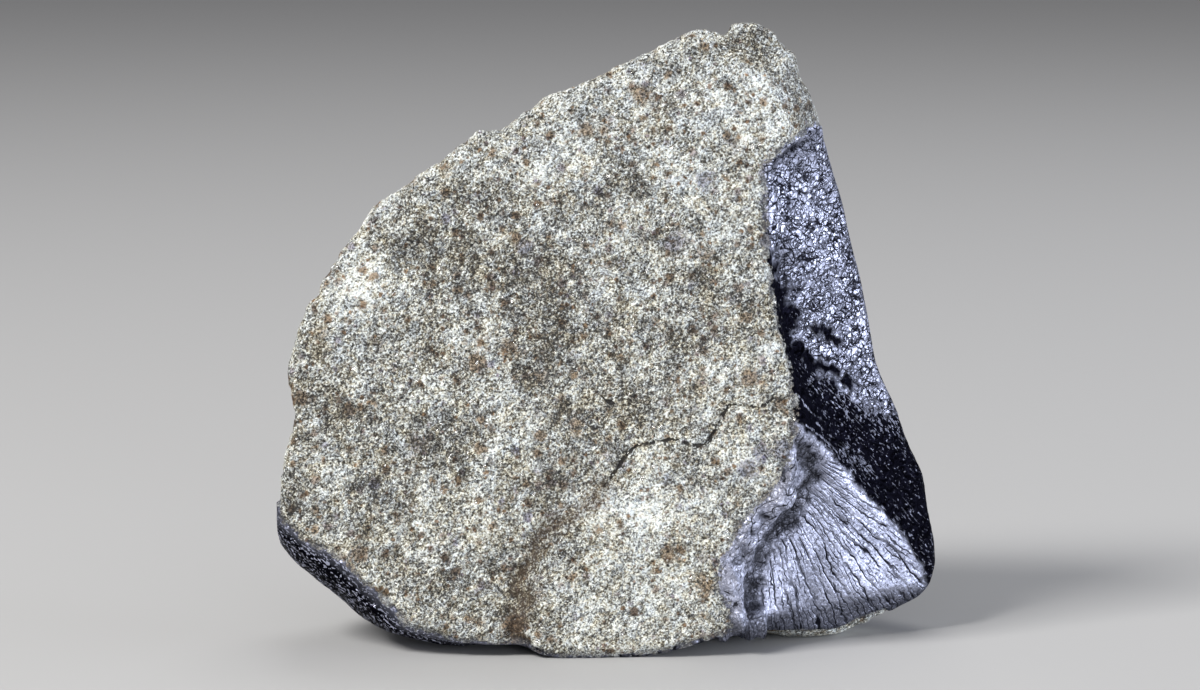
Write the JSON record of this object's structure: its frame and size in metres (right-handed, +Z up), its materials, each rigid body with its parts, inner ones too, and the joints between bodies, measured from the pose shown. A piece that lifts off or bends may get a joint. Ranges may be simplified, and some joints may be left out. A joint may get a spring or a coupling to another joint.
{
  "type": "meteorite fragment",
  "caption": "Stony meteorite fragment: a granular broken face, a glossy dark melted crust with flow lines and thumbprint hollows, and a small flat spot to rest on.",
  "frame": {"origin": "under the middle of the stone's box, on the surface that it stands on", "axes": "+Z up, +X to the right across the broken face, which looks along -Y and leans back by 8 degrees"},
  "size_m": [0.054, 0.0296, 0.0507],
  "materials": {
    "stone": "rough granular light grey rock on the broken face, glossy near-black melted crust elsewhere"
  },
  "bodies": {
    "root": {"meteorite": "stone"}
  },
  "joints": []
}
